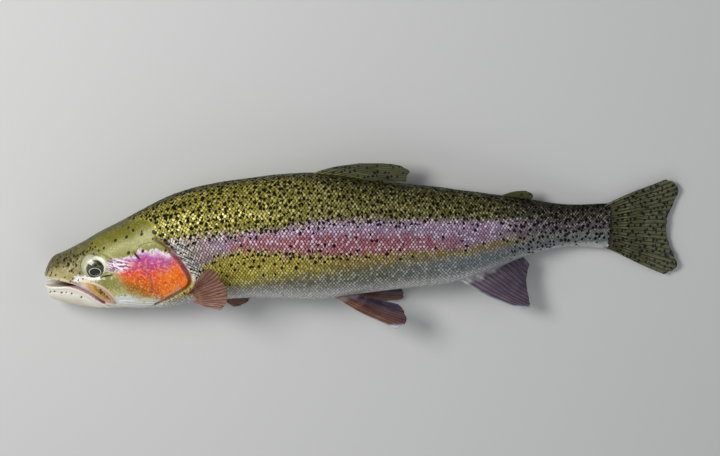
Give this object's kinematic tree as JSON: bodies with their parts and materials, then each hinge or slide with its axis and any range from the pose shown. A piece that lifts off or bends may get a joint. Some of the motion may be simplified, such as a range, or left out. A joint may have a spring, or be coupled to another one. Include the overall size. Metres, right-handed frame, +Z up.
{
  "type": "rainbow trout",
  "caption": "Life-size rainbow trout lying on its right flank, with parted jaws, gill covers, eyes and all its fins as separate pieces.",
  "frame": {"origin": "on the floor below the axis of the body, on the flat of the right flank where the trunk is deepest", "axes": "+X from the snout to the tail, +Y from the belly to the back, +Z up, out of the left flank"},
  "size_m": [0.6187, 0.1648, 0.0921],
  "materials": {
    "head_skin": "wet smooth skin, olive above, rose and orange on the gill cover, white on the throat",
    "scaled_skin": "wet scales, olive and black-spotted above, rose along the flank, silver on the belly",
    "fin": "wet translucent membrane over soft rays",
    "eye": "clear and glossy, black pupil in a dark gold iris"
  },
  "bodies": {
    "root": {"head": "head_skin", "lower_jaw": "head_skin", "maxilla_left": "head_skin", "maxilla_right": "head_skin", "gill_cover_left": "head_skin", "gill_cover_right": "head_skin", "eye_left": "eye", "eye_right": "eye", "trunk_front": "scaled_skin", "trunk_middle": "scaled_skin", "trunk_rear": "scaled_skin", "tail_stalk": "scaled_skin", "dorsal_fin": "fin", "adipose_fin": "fin", "anal_fin": "fin", "pelvic_fin_left": "fin", "pelvic_fin_right": "fin", "pectoral_fin_left": "fin", "pectoral_fin_right": "fin", "tail_fin": "fin"}
  },
  "joints": []
}
